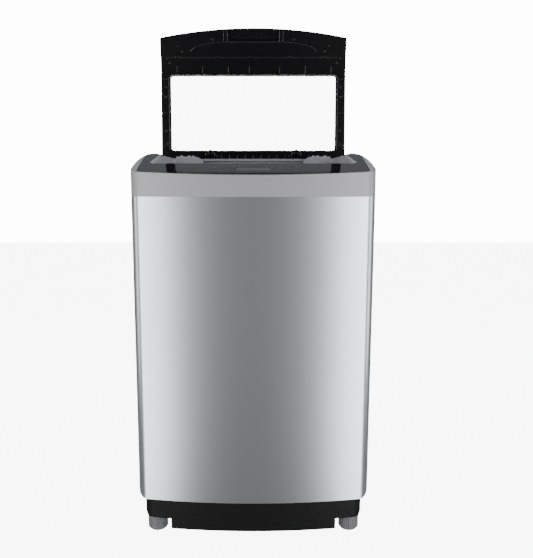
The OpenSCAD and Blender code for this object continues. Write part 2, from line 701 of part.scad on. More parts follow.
dish_z = basket_z + 14;
module basket_base() color([0.7, 0.72, 0.75]) rotate_extrude($fn = 128)
    polygon([[spin_shaft_r + 8, basket_z + 1.2],
    [basket_r - 1.2, basket_z + 1.2], [basket_r - 1.2, dish_z + 50], [basket_r - 4, dish_z + 50],
    [basket_r - 14, dish_z + 28], [pulsator_r + 14, dish_z + 14], [pulsator_r + 5, dish_z],
    [spin_shaft_r + 8, dish_z]]);

module basket_hub() color([0.7, 0.71, 0.72]) {
    tube(spin_shaft_r, spin_shaft_r + 12, basket_z - 9, basket_z);
    difference() {
        for (a = [0:60:300]) rotate([0, 0, a]) box([spin_shaft_r + 2, -12, basket_z - 7],
            [basket_r - 8, 12, basket_z]);
        translate([0, 0, basket_z - 20]) cylinder(h = 40, r = spin_shaft_r);
    }
}

module spin_shaft() color([0.75, 0.76, 0.78]) tube(wash_shaft_r + run_gap, spin_shaft_r, tub_z - 97,
    basket_z + 10);

module wash_shaft() color([0.8, 0.81, 0.83]) translate([0, 0, pulley_z - 6])
    cylinder(h = dish_z + 22 - pulley_z + 6, r = wash_shaft_r);

module pulsator() color([0.72, 0.74, 0.78]) difference() {
    union() {
        rotate_extrude($fn = 96) polygon([[0, dish_z + 3], [pulsator_r - 8, dish_z + 3],
            [pulsator_r, dish_z + 10],
            [pulsator_r, dish_z + 14], [pulsator_r - 30, dish_z + 12], [60, dish_z + 15], [34, dish_z + 30],
            [0, dish_z + 32]]);
        for (a = [0:60:300]) rotate([0, 0, a + 15]) along_y(-7, 7) polygon([[28, dish_z + 10],
            [pulsator_r - 16, dish_z + 10], [pulsator_r - 16, dish_z + 14], [pulsator_r - 40, dish_z + 26],
                [60, dish_z + 34], [28, dish_z + 36]]);
    }
    translate([0, 0, dish_z - 1]) cylinder(h = 23, r = wash_shaft_r);
    translate([0, 0, dish_z + 30]) cylinder(h = 9, r = 24);
}

module pulsator_cap() color([0.3, 0.4, 0.5]) difference() {
    translate([0, 0, dish_z + 30]) cylinder(h = 9, r1 = 23.6, r2 = 19);
    for (a = [0, 90]) rotate([0, 0, a]) translate([0, 0, dish_z + 39]) cube([20, 4, 6], center = true);
}

module bearing_housing() color([0.55, 0.56, 0.58]) difference() {
    union() {
        translate([0, 0, tub_z - 97]) cylinder(h = 97, r = 33);
        translate([0, 0, tub_z - 6]) cylinder(h = 6, r = 66);
        translate([0, 0, tub_z - 1]) cylinder(h = 10, r = 29.7);
    }
    translate([0, 0, tub_z - 99]) cylinder(h = 120, r = spin_shaft_r + 4);
    for (z = [tub_z - 98, tub_z - 18]) translate([0, 0, z]) cylinder(h = 15, r = 25);
    translate([0, 0, tub_z + 1]) cylinder(h = 12, r = 22);
}

module shaft_bearings() color([0.8, 0.8, 0.82])
    for (z = [tub_z - 97, tub_z - 18]) tube(spin_shaft_r + run_gap, 25, z, z + 14);

module shaft_seal() color([0.08, 0.08, 0.09]) tube(spin_shaft_r + run_gap, 22, tub_z + 1, tub_z + 9);

module drive_bracket() color([0.5, 0.52, 0.54]) difference() {
    box([-80, -80, tub_z - 10], [80, belt_span + motor_r + 6, tub_z - 6]);
    translate([0, 0, tub_z - 20]) cylinder(h = 30, r = 33);
    translate([0, belt_span, tub_z - 20]) cylinder(h = 30, r = 20);
}

motor_top = tub_z - 10;
module motor() color([0.35, 0.36, 0.38]) translate([0, belt_span, 0]) difference() {
    union() {
        translate([0, 0, motor_top - 82]) cylinder(h = 76, r = motor_r);
        translate([0, 0, motor_top - 88]) cylinder(h = 8, r = 22);
        translate([0, 0, motor_top - 7]) cylinder(h = 7, r = 30);
    }
    translate([0, 0, motor_top - 90]) cylinder(h = 95, r = 7 + run_gap);
}

module v_pulley(r, bore_r) rotate_extrude($fn = 96) polygon([[bore_r, 0], [r + 4, 0], [r + 4, 2],
    [r - 4, pulley_h / 2 - 2],
    [r - 4, pulley_h / 2 + 2], [r + 4, pulley_h - 2], [r + 4, pulley_h], [bore_r, pulley_h]]);

module drive_pulley() color([0.5, 0.5, 0.52]) translate([0, 0, pulley_z]) difference() {
    v_pulley(big_pulley_r, wash_shaft_r);
    for (a = [0:60:300]) rotate([0, 0, a]) translate([big_pulley_r * 0.58, 0, -1])
        cylinder(h = pulley_h + 2, r = big_pulley_r * 0.2);
}

module motor_pulley() color([0.6, 0.6, 0.62]) translate([0, belt_span, pulley_z]) {
    v_pulley(small_pulley_r, 6);
    translate([0, 0, -3]) cylinder(h = motor_top - pulley_z - 5, r = 7);
}

// Outline of a belt round both pulleys, at a distance g outside the groove floors
function belt_pts(g) = let(r1 = big_pulley_r - 4 + g, r2 = small_pulley_r - 4 + g,
    a = asin((r1 - r2) / belt_span))
    concat(arc_pts(0, 0, r1, 180 - a, 360 + a, 30), arc_pts(0, belt_span, r2, a, 180 - a, 16));

module drive_belt() color([0.05, 0.05, 0.05]) translate([0, 0, pulley_z + pulley_h / 2 - 1.6])
    linear_extrude(3.2)
    difference() {
        polygon(belt_pts(6.5));
        polygon(belt_pts(0.5));
    }

module suspension_brackets() color([0.55, 0.57, 0.6]) difference() {
    intersection() {
        prism(body_plan(sheet_t, rear_y - 3 * sheet_t), rod_top, rod_top + 30);
        for (s = [-1, 1]) {
            box([s > 0 ? rod_x - 24 : -half_w, front_y, rod_top],
                [s > 0 ? half_w : 24 - rod_x, rod_front + 24, rod_top + 30]);
            box([s > 0 ? rod_x - 24 : -half_w, rod_rear - 24, rod_top],
                [s > 0 ? half_w : 24 - rod_x, rear_y, rod_top + 30]);
        }
    }
    box([3 - half_w, front_y + 40, rod_top + 4], [half_w - 3, rear_y - 6, rod_top + 31]);
    box([24 - half_w, front_y - 1, rod_top + 4], [half_w - 24, rear_y + 6, rod_top + 31]);
    each_corner(rod_x, rod_front, rod_rear) translate([0, 0, rod_top - 1]) cylinder(h = 9, r = 6);
}

module suspension_rods() color([0.72, 0.73, 0.75]) each_corner(rod_x, rod_front, rod_rear) {
    translate([0, 0, rod_low - 6]) cylinder(h = rod_top - rod_low + 10, r = 3);
    translate([0, 0, rod_top + 4]) cylinder(h = 7, r1 = 10, r2 = 5);
    translate([0, 0, rod_low]) cylinder(h = 8, r = 16);
}

module suspension_springs() color([0.5, 0.52, 0.55]) each_corner(rod_x, rod_front, rod_rear)
    rotate_extrude($fn = 32) difference() {
        translate([8, rod_low + 8]) square([4, lug_z - rod_low - 8]);
        for (i = [1:5]) translate([12.8, rod_low + 8 + i * 10]) circle(r = 3);
    }

module drain_valve() color([0.25, 0.26, 0.28]) translate([drain_x, drain_y, 0]) difference() {
    union() {
        box([-22, -22, tub_z - 40], [22, 22, tub_z]);
        bar_x(0, tub_z - 22, 15, 21, 62);
        translate([0, 0, tub_z - 60]) cylinder(h = 22, r = 14);
    }
    translate([0, 0, tub_z - 70]) cylinder(h = 80, r = 10);
}

module drain_bellows() color([0.12, 0.12, 0.13]) translate([drain_x, drain_y, 0]) rotate_extrude($fn = 48)
    polygon(concat([[11, tub_z - 61], [11, drain_z + 18]],
        [for (i = [0:8]) [i % 2 == 0 ? 14 : 18, drain_z + 18 + i * (tub_z - 79 - drain_z) / 8]]));

spigot_r = 15;
module drain_outlet() color([0.15, 0.15, 0.16]) difference() {
    union() {
        translate([drain_x, drain_y, drain_z - 15]) cylinder(h = 33, r = 18);
        bar_y(drain_x, drain_z, spigot_r, rear_y - base_in, body_d / 2);
        bar_y(drain_x, drain_z, spigot_r - 1, drain_y, rear_y - base_in + 1);
        bar_y(drain_x, drain_z, 19, rear_y - base_in - 10, rear_y - base_in - 4);
    }
    bar_y(drain_x, drain_z, 12, drain_y, body_d / 2 + 1);
    translate([drain_x, drain_y, drain_z - 12]) cylinder(h = 40, r = 12);
}

cabinet_wrap();
rear_panel();
service_cover();
base_frame();
top_cover();
control_deck();
inner_surround();
display_window();
control_housing();
control_board();
program_key();
level_key();
rinse_key();
spin_key();
start_key();
power_key();
lid_outer_frame();
lid_inner_frame();
lid_window();
window_gasket();
lid_screws();
lid_bumpers();
hinge_brackets();
hinge_pins();
lid_switch();
drawer_housing();
detergent_drawer();
inlet_valve();
level_sensor();
cord_gland();
side_grips();
rear_screws();
outer_tub();
tub_cover();
wash_basket();
balance_ring();
basket_base();
basket_hub();
spin_shaft();
pulsator();
pulsator_cap();
wash_shaft();
bearing_housing();
shaft_bearings();
shaft_seal();
drive_bracket();
motor();
motor_pulley();
drive_pulley();
drive_belt();
suspension_brackets();
suspension_rods();
suspension_springs();
drain_valve();
drain_bellows();
drain_outlet();
foot_front_left();
foot_front_right();
foot_rear_left();
foot_rear_right();
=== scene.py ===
# %% [markdown]
# # A top-loading washing machine with its lid standing open
# The design comes in as a fixed frame: sixty named nodes that already have their sizes, places and joints.
# This lesson gives each of them a surface worth looking at, and builds the shapes that a plain solid
# only stands for: the ribs under the lid, the drilled wall of the basket and the coiled springs.

# %% Load the frame
import json
import math
import bmesh
import bpy
from mathutils import Matrix, Vector


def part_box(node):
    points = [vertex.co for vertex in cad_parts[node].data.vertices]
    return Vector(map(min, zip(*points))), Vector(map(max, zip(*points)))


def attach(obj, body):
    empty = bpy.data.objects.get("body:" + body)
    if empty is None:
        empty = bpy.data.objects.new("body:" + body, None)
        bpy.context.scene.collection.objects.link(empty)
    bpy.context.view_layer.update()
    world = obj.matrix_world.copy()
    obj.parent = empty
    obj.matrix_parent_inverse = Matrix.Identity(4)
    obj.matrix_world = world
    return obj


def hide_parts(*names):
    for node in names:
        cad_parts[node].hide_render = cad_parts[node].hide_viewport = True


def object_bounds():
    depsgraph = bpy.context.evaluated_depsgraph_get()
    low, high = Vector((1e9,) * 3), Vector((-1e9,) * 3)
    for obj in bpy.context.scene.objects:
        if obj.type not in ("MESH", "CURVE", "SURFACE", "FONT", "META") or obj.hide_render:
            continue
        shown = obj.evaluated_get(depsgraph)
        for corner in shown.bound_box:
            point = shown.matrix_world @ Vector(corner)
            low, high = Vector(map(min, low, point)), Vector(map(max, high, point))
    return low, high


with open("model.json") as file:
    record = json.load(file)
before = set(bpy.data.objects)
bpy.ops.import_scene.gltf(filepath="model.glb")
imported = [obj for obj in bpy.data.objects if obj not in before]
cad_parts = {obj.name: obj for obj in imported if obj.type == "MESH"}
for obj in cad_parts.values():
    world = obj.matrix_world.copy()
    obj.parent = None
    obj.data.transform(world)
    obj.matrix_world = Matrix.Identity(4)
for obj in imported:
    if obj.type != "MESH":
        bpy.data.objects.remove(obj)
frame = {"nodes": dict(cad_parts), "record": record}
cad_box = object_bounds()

nodes = frame["nodes"]
body_of_node = {n: b for b, names in frame["record"]["behaviour"]["bodies"].items() for n in names}
slot_of_node = {row["node"]: row["material_slot"] for row in frame["record"]["subparts"]}
print("nodes:", len(nodes), "box:", [round(v, 4) for corner in cad_box for v in corner])

# %% [markdown]
# ## Values that the pieces share
# Everything is in metres. Places are read from the frame's own boxes and joints, so the looks follow
# the design. The lid is easiest to model lying shut, where it is flat. `LID_UP` then turns a piece
# about the hinge line by the same angle as the real lid.

# %% Shared values
MM = 0.001
joints = {j["name"]: j for j in frame["record"]["behaviour"]["joints"]}
hinge = Vector(joints["lid_hinge"]["pos_m"])
swing = math.radians(joints["lid_hinge"]["range_deg"][1])
LID_UP = Matrix.Translation(hinge) @ Matrix.Rotation(-swing, 4, "X") @ Matrix.Translation(-hinge)

wrap_low, wrap_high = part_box("cabinet_wrap")
cover_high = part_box("top_cover")[1]
front_y = wrap_low.y
seam_z = wrap_high.z
rail_z = cover_high.z
slope = math.radians(16)
lip_h = 46 * MM
lip_z = seam_z + lip_h
bend_y = front_y + (rail_z - lip_z) / math.tan(slope)
lid_gap = 3 * MM
under_z = rail_z + lid_gap
print("hinge", [round(v, 3) for v in hinge], "bend", round(bend_y, 4))

# %% [markdown]
# ## Small helpers
# Every operator works on all that is selected, and loading the frame leaves its nodes selected.
# So each step starts by selecting one piece only. A finished piece keeps its place in its mesh.

# %% Helpers for selecting and finishing
def select_only(*objects):
    bpy.ops.object.select_all(action="DESELECT")
    for obj in objects:
        obj.select_set(True)
    bpy.context.view_layer.objects.active = objects[0] if objects else None


def bake_place(obj):
    select_only(obj)
    bpy.ops.object.transform_apply(location=True, rotation=True, scale=True)


def add_modifier(obj, kind, **settings):
    mod = obj.modifiers.new(kind.title(), kind)
    for key, value in settings.items():
        setattr(mod, key, value)
    select_only(obj)
    bpy.ops.object.modifier_apply(modifier=mod.name)


def soften(obj, width=0.6 * MM, segments=2, angle=32):
    add_modifier(obj, "BEVEL", width=width, segments=segments, limit_method="ANGLE",
        angle_limit=math.radians(angle), harden_normals=False, use_clamp_overlap=True)


def smooth(obj, angle=38):
    """Smooth shading, with each corner's normal following its largest face so flat sheets look flat."""
    select_only(obj)
    bpy.ops.object.shade_smooth_by_angle(angle=math.radians(angle))
    add_modifier(obj, "WEIGHTED_NORMAL", keep_sharp=True)


def join(pieces, name):
    select_only(*pieces)
    if len(pieces) > 1:
        bpy.ops.object.join()
    obj = bpy.context.view_layer.objects.active
    obj.name = name
    obj.data.name = name
    return obj


def settle(obj, body, material, replaces=()):
    """Names the body and the finish of a piece, and hides the nodes it stands for."""
    obj.data.materials.clear()
    obj.data.materials.append(material)
    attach(obj, body)
    if replaces:
        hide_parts(*replaces)
    return obj


# %% [markdown]
# ## Making a moulded or pressed part from its solid
# A solid comes in as loose triangles with knife edges. A real moulding or pressing has a small radius on
# every edge, and that radius is what catches the light. The helper copies the node, merges its
# triangles, joins the flat ones into whole faces, bevels the edges and smooths the round stretches.

# %% Helper that refines a node
merge_distance = 0.02 * MM
flat_angle = math.radians(0.4)


def refine(node, bevel=0.6, segments=2, angle=32, smooth_angle=38):
    source = nodes[node]
    obj = bpy.data.objects.new(node + "_part", source.data.copy())
    bpy.context.collection.objects.link(obj)
    obj.data.transform(source.matrix_world)
    select_only(obj)
    bpy.ops.object.mode_set(mode="EDIT")
    bpy.ops.mesh.select_all(action="SELECT")
    bpy.ops.mesh.remove_doubles(threshold=merge_distance)
    bpy.ops.mesh.dissolve_limited(angle_limit=flat_angle)
    bpy.ops.object.mode_set(mode="OBJECT")
    if bevel:
        soften(obj, bevel * MM, segments, angle)
    smooth(obj, smooth_angle)
    return obj


def refine_and_settle(node, material, **settings):
    obj = refine(node, **settings)
    settle(obj, body_of_node[node], material, [node])
    print(f"{node}: {len(obj.data.polygons)} faces")
    return obj


# %% [markdown]
# ## Finishes
# Each finish is a Principled shader with its own fine detail: mottling in the colour, a roughness that
# wanders a little, and a bump at the true scale of the grain, flake or brushing. The patterns read
# Object coordinates, which are metres here, so a scale of 1000 has features of about a millimetre.

# %% Finish helpers
def new_finish(name, color, roughness, metallic=0.0, **sockets):
    material = bpy.data.materials.new(name)
    material.use_nodes = True
    shader = material.node_tree.nodes["Principled BSDF"]
    shader.inputs["Base Color"].default_value = (*color, 1)
    shader.inputs["Roughness"].default_value = roughness
    shader.inputs["Metallic"].default_value = metallic
    for key, value in sockets.items():
        shader.inputs[key.replace("_", " ")].default_value = value
    return material


def noise(material, scale, detail=4, stretch=(1, 1, 1)):
    tree = material.node_tree
    coords = tree.nodes.new("ShaderNodeTexCoord")
    mapping = tree.nodes.new("ShaderNodeMapping")
    mapping.inputs["Scale"].default_value = stretch
    texture = tree.nodes.new("ShaderNodeTexNoise")
    texture.inputs["Scale"].default_value = scale
    texture.inputs["Detail"].default_value = detail
    tree.links.new(coords.outputs["Object"], mapping.inputs["Vector"])
    tree.links.new(mapping.outputs["Vector"], texture.inputs["Vector"])
    return texture


def vary_color(material, dark, light, scale, stretch=(1, 1, 1), detail=3, low=0.35, high=0.65):
    tree = material.node_tree
    ramp = tree.nodes.new("ShaderNodeValToRGB")
    ramp.color_ramp.elements[0].position = low
    ramp.color_ramp.elements[1].position = high
    ramp.color_ramp.elements[0].color = (*dark, 1)
    ramp.color_ramp.elements[1].color = (*light, 1)
    tree.links.new(noise(material, scale, detail, stretch).outputs["Fac"], ramp.inputs["Fac"])
    tree.links.new(ramp.outputs["Color"], tree.nodes["Principled BSDF"].inputs["Base Color"])


def vary_roughness(material, low, high, scale, stretch=(1, 1, 1)):
    tree = material.node_tree
    span = tree.nodes.new("ShaderNodeMapRange")
    span.inputs["From Min"].default_value = 0.3
    span.inputs["From Max"].default_value = 0.7
    span.inputs["To Min"].default_value = low
    span.inputs["To Max"].default_value = high
    tree.links.new(noise(material, scale, 3, stretch).outputs["Fac"], span.inputs["Value"])
    tree.links.new(span.outputs["Result"], tree.nodes["Principled BSDF"].inputs["Roughness"])


def grain(material, scale, strength, depth, stretch=(1, 1, 1), detail=2):
    """Bump from a noise. Depth is in metres."""
    tree = material.node_tree
    bump = tree.nodes.new("ShaderNodeBump")
    bump.inputs["Strength"].default_value = strength
    bump.inputs["Distance"].default_value = depth
    tree.links.new(noise(material, scale, detail, stretch).outputs["Fac"], bump.inputs["Height"])
    tree.links.new(bump.outputs["Normal"], tree.nodes["Principled BSDF"].inputs["Normal"])


# %% [markdown]
# ### Coated sheet steel
# The cabinet is steel with a pale blue-grey metallic lacquer. Fine flakes lie under its clear coat, and
# vary its colour and gloss at about a millimetre, which softens the mirror images of the lights. Inner
# sheets are bare zinc, mottled and duller, and the basket and shafts are brushed round their axis.

# %% Metal finishes
silver = new_finish("silver_lacquer", (0.45, 0.475, 0.50), 0.29, 0.92, Coat_Weight=0.2,
    Coat_Roughness=0.2)
vary_color(silver, (0.425, 0.45, 0.475), (0.475, 0.50, 0.525), 900, low=0.3, high=0.7)
vary_roughness(silver, 0.27, 0.31, 1400)
grain(silver, 2200, 0.06, 0.00004)

zinc = new_finish("zinc_coated_sheet", (0.5, 0.52, 0.54), 0.42, 1.0)
vary_color(zinc, (0.42, 0.44, 0.46), (0.58, 0.6, 0.62), 60, detail=8)
vary_roughness(zinc, 0.34, 0.52, 90)
grain(zinc, 700, 0.08, 0.00005)

bright = new_finish("turned_steel", (0.68, 0.69, 0.71), 0.25, 1.0)
vary_color(bright, (0.62, 0.63, 0.65), (0.72, 0.73, 0.75), 300, (0.2, 0.2, 6))
vary_roughness(bright, 0.18, 0.32, 400, (0.2, 0.2, 6))

basket_steel = new_finish("brushed_basket_steel", (0.72, 0.73, 0.74), 0.28, 1.0)
vary_color(basket_steel, (0.66, 0.67, 0.68), (0.76, 0.77, 0.78), 220, (0.6, 0.6, 14))
vary_roughness(basket_steel, 0.22, 0.36, 260, (0.6, 0.6, 14))
grain(basket_steel, 500, 0.05, 0.00003, (0.5, 0.5, 12))

spring = new_finish("spring_wire", (0.36, 0.37, 0.39), 0.38, 1.0)
vary_color(spring, (0.3, 0.31, 0.33), (0.42, 0.43, 0.45), 140)
grain(spring, 900, 0.1, 0.00004)

cast = new_finish("cast_aluminium", (0.5, 0.51, 0.53), 0.5, 1.0)
vary_color(cast, (0.44, 0.45, 0.47), (0.56, 0.57, 0.59), 160, detail=6)
vary_roughness(cast, 0.42, 0.6, 240)
grain(cast, 900, 0.35, 0.00025)

# %% [markdown]
# ### Plastics
# The cover and surround are grey mouldings with a fine satin grain. The control strip and the lid's
# outside are gloss black, nearly a mirror, with faint dust that dulls the gloss in patches. The lid's
# underside and the base are black too, but have a spark-eroded grain that spreads the light.

# %% Plastic finishes
cover_grey = new_finish("cover_grey", (0.25, 0.25, 0.26), 0.40, 0.12)
vary_color(cover_grey, (0.238, 0.238, 0.248), (0.262, 0.262, 0.272), 700)
vary_roughness(cover_grey, 0.38, 0.44, 1100)
grain(cover_grey, 1800, 0.05, 0.00003)

surround_grey = new_finish("surround_grey", (0.33, 0.32, 0.36), 0.3, 0.15)
vary_color(surround_grey, (0.315, 0.305, 0.345), (0.345, 0.335, 0.375), 500)
vary_roughness(surround_grey, 0.28, 0.34, 1100)
grain(surround_grey, 1500, 0.06, 0.00003)

gloss_black = new_finish("gloss_black", (0.006, 0.006, 0.007), 0.06, Coat_Weight=0.3,
    Coat_Roughness=0.03)
vary_roughness(gloss_black, 0.04, 0.09, 25)
vary_color(gloss_black, (0.005, 0.005, 0.006), (0.008, 0.008, 0.009), 35)

lid_black = new_finish("lid_black", (0.003, 0.003, 0.0035), 0.34, Specular_IOR_Level=0.09)
vary_color(lid_black, (0.002, 0.002, 0.0024), (0.004, 0.004, 0.0046), 200)
vary_roughness(lid_black, 0.3, 0.38, 900)
grain(lid_black, 1600, 0.12, 0.00005)

# The ribs are moulded in the same black as the lid's underside. Their lighter colour is a painted
# highlight, standing in for the faint light lines along them.
rib_painted_highlight = new_finish("rib_painted_highlight", (0.02, 0.02, 0.022), 0.22, Specular_IOR_Level=0.9)
vary_color(rib_painted_highlight, (0.016, 0.016, 0.018), (0.026, 0.026, 0.028), 300)

base_black = new_finish("base_black", (0.004, 0.004, 0.0042), 0.5, Specular_IOR_Level=0.11)
vary_color(base_black, (0.003, 0.003, 0.0032), (0.006, 0.006, 0.0062), 300)
vary_roughness(base_black, 0.45, 0.55, 700)
grain(base_black, 1300, 0.25, 0.00008)

foot_grey = new_finish("foot_grey", (0.115, 0.12, 0.125), 0.5)
vary_color(foot_grey, (0.09, 0.095, 0.10), (0.125, 0.13, 0.135), 220)
grain(foot_grey, 1200, 0.2, 0.00006)

rubber = new_finish("black_rubber", (0.006, 0.006, 0.0065), 0.65, Specular_IOR_Level=0.25)
vary_color(rubber, (0.004, 0.004, 0.0045), (0.009, 0.009, 0.0095), 260)
grain(rubber, 1500, 0.3, 0.00008)

dark_plastic = new_finish("dark_plastic", (0.03, 0.031, 0.034), 0.45)
vary_color(dark_plastic, (0.024, 0.025, 0.028), (0.036, 0.037, 0.04), 240)
grain(dark_plastic, 1400, 0.2, 0.00006)

white_plastic = new_finish("white_plastic", (0.72, 0.72, 0.70), 0.35)
vary_color(white_plastic, (0.69, 0.69, 0.67), (0.75, 0.75, 0.73), 120)
grain(white_plastic, 1600, 0.08, 0.00004)

tub_plastic = new_finish("tub_plastic", (0.62, 0.64, 0.66), 0.4)
vary_color(tub_plastic, (0.58, 0.60, 0.62), (0.66, 0.68, 0.70), 80)
grain(tub_plastic, 1100, 0.12, 0.00006)

pulsator_grey = new_finish("pulsator_grey", (0.42, 0.45, 0.50), 0.26)
vary_color(pulsator_grey, (0.40, 0.43, 0.48), (0.44, 0.47, 0.52), 200)
vary_roughness(pulsator_grey, 0.22, 0.33, 50)
grain(pulsator_grey, 1400, 0.06, 0.00004)

cap_blue = new_finish("cap_blue", (0.06, 0.10, 0.17), 0.22, Coat_Weight=0.3)
vary_color(cap_blue, (0.055, 0.09, 0.155), (0.07, 0.115, 0.185), 150)

motor_paint = new_finish("motor_paint", (0.06, 0.062, 0.066), 0.4, 0.2)
vary_color(motor_paint, (0.05, 0.052, 0.056), (0.075, 0.077, 0.08), 120)
grain(motor_paint, 700, 0.25, 0.0001)

board_green = new_finish("board_green", (0.02, 0.10, 0.045), 0.3)
vary_color(board_green, (0.015, 0.085, 0.035), (0.03, 0.13, 0.06), 90)

screw_black = new_finish("screw_black", (0.03, 0.03, 0.032), 0.35, 0.8)
vary_color(screw_black, (0.022, 0.022, 0.024), (0.04, 0.04, 0.042), 400)

# %% [markdown]
# ### Glass
# The window is a clear tempered pane about 3 mm thick, and passes nearly all light. A hint of green sits in
# its colour, and its roughness drifts a little, which keeps its reflections from being perfect. The small
# display window is smoked nearly black, so it is made as an opaque gloss.

# %% Glass finishes
window_glass = new_finish("window_glass", (0.985, 0.995, 0.99), 0.02, Transmission_Weight=1.0, IOR=1.45)
vary_roughness(window_glass, 0.0, 0.015, 30)

smoked = new_finish("smoked_window", (0.004, 0.004, 0.005), 0.05, Coat_Weight=1.0)
vary_color(smoked, (0.003, 0.003, 0.004), (0.006, 0.006, 0.008), 60)

finish_of_slot = {
    "silver_steel": silver, "zinc_steel": zinc, "bright_steel": bright, "basket_steel": basket_steel,
    "spring_steel": spring, "base_plastic": base_black, "cover_plastic": cover_grey,
    "surround_plastic": surround_grey, "gloss_black": gloss_black, "lid_black": lid_black,
    "smoked_glass": smoked, "window_glass": window_glass, "black_rubber": rubber,
    "screw_black": screw_black, "white_plastic": white_plastic, "board_green": board_green,
    "dark_plastic": dark_plastic, "tub_plastic": tub_plastic, "pulsator_plastic": pulsator_grey,
    "cap_blue": cap_blue, "cast_metal": cast, "motor_paint": motor_paint, "foot_grey": foot_grey}

for node, obj in nodes.items():
    obj.data.materials.clear()
    obj.data.materials.append(finish_of_slot[slot_of_node[node]])
print("finishes:", len(finish_of_slot))

# %% [markdown]
# ## The casing
# The wrap, the cover, the base and the rear sheets keep their designed shape. Pressed sheet gets a
# radius of a few tenths of a millimetre, and mouldings get more.

# %% Casing pieces
for node, width in [("cabinet_wrap", 0.35), ("top_cover", 0.8), ("base_frame", 0.9), ("rear_panel", 0.3),
        ("service_cover", 0.3), ("side_grips", 0.6), ("inner_surround", 0.8), ("control_deck", 0.5),
        ("control_housing", 0.5), ("cord_gland", 0.4), ("inlet_valve", 0.5), ("drain_outlet", 0.5)]:
    refine_and_settle(node, finish_of_slot[slot_of_node[node]], bevel=width)

# %% Keys, feet and small parts
for node in ["program_key", "level_key", "rinse_key", "spin_key", "start_key", "power_key"]:
    refine_and_settle(node, gloss_black, bevel=0.35, segments=3)
for node in ["foot_front_left", "foot_front_right", "foot_rear_left", "foot_rear_right"]:
    refine_and_settle(node, foot_grey, bevel=0.35)
for node in ["lid_outer_frame", "lid_inner_frame", "hinge_brackets", "window_gasket", "lid_window",
        "detergent_drawer", "drawer_housing"]:
    refine_and_settle(node, finish_of_slot[slot_of_node[node]], bevel=0.3 if "window" in node else 0.6)

# %% [markdown]
# ## The underside of the lid
# Standing open, the lid shows its underside: a smooth black moulding with thin stiffening ribs, a row of
# clip notches under the bend, and a finger recess at the free edge. Each rib is a bar a little proud of
# the moulding. The bars are laid out on a flat sheet, where Y is the real depth, and then every
# point is dropped onto the curve of the underside. Drawing them in place would need a tilt for each.

# %% Laying things on the underside
bend_r = 140 * MM
bend_t = bend_r * math.tan(slope / 2)
root = 0.4 * MM


def under_height(y):
    """Height of the shut lid's underside: flat behind the bend, an arc round it, and a slope before it."""
    if y > bend_y + bend_t:
        return under_z
    if y < bend_y - bend_t * math.cos(slope):
        return under_z - (bend_y - y) * math.tan(slope)
    return under_z - bend_r + math.sqrt(bend_r**2 - (bend_y + bend_t - y) ** 2)


def lay_on_underside(obj):
    for vertex in obj.data.vertices:
        vertex.co.z += under_height(vertex.co.y)
    obj.data.transform(LID_UP)
    obj.data.update()


def add_bar(x, y, width, depth, rise, turn=0.0):
    """A bar that stands out by its rise and is rooted a little way into the moulding."""
    bpy.ops.object.select_all(action="DESELECT")
    bpy.ops.mesh.primitive_cube_add(size=1, location=(x, y, (root - rise) / 2), rotation=(0, 0, turn),
        scale=(width, depth, rise + root))
    bar = bpy.context.active_object
    bpy.ops.object.mode_set(mode="EDIT")
    bpy.ops.mesh.subdivide(number_cuts=1)
    bpy.ops.object.mode_set(mode="OBJECT")
    bake_place(bar)
    return bar


def add_curved_rib(side, x0, y0, x1, y1, steps=6):
    """A rib that leaves the recess level and swings down towards the side, as short bars in a row."""
    lap = 0.3 * MM
    bars = []
    for i in range(steps):
        a, b = i / steps, (i + 1) / steps
        xa, xb = x0 + (x1 - x0) * math.sin(a * math.pi / 2), x0 + (x1 - x0) * math.sin(b * math.pi / 2)
        ya, yb = y1 + (y0 - y1) * math.cos(a * math.pi / 2), y1 + (y0 - y1) * math.cos(b * math.pi / 2)
        length = math.hypot(xb - xa, yb - ya) + lap
        bars.append(add_bar(side * (xa + xb) / 2, (ya + yb) / 2, length, 1.1 * MM, 0.7 * MM,
            turn=side * math.atan2(yb - ya, xb - xa)))
    return bars


def add_dot(x, y, radius=1.6 * MM, rise=0.5 * MM, drop=0.0):
    bpy.ops.object.select_all(action="DESELECT")
    bpy.ops.mesh.primitive_cylinder_add(vertices=14, radius=radius, depth=rise + root,
        location=(x, y, drop + (root - rise) / 2))
    dot = bpy.context.active_object
    bake_place(dot)
    return dot


# %% Ribs, notches and tabs of the underside
def front_y_at(reach_beyond_bend):
    return bend_y - reach_beyond_bend * math.cos(slope)


def flat_y_at(distance):
    return hinge.y - distance


bars = []
flange_rib_y = flat_y_at(228.5 * MM)
for x in [-208, -138, -68, -11, 72, 142, 212]:
    bars.append(add_bar(x * MM, flange_rib_y, 1.4 * MM, 17 * MM, 0.9 * MM))

seam_y = front_y_at(18 * MM)
seam_half = 228
notch_half, notch_depth = 5, 2.4 * MM
notches = [-206, -96, -4, 100, 192]
edges = [-seam_half] + [x + side * notch_half for x in notches for side in (-1, 1)] + [seam_half]
for left, right in zip(edges[::2], edges[1::2]):
    bars.append(add_bar((left + right) / 2 * MM, seam_y, (right - left) * MM, 1.2 * MM, 0.8 * MM))
for x in notches:
    bars.append(add_bar(x * MM, seam_y - notch_depth, 2 * notch_half * MM, 0.9 * MM, 0.8 * MM))
    for side in (-1, 1):
        bars.append(add_bar((x + side * notch_half) * MM, seam_y - notch_depth / 2, 0.9 * MM, 3.2 * MM,
            0.8 * MM))

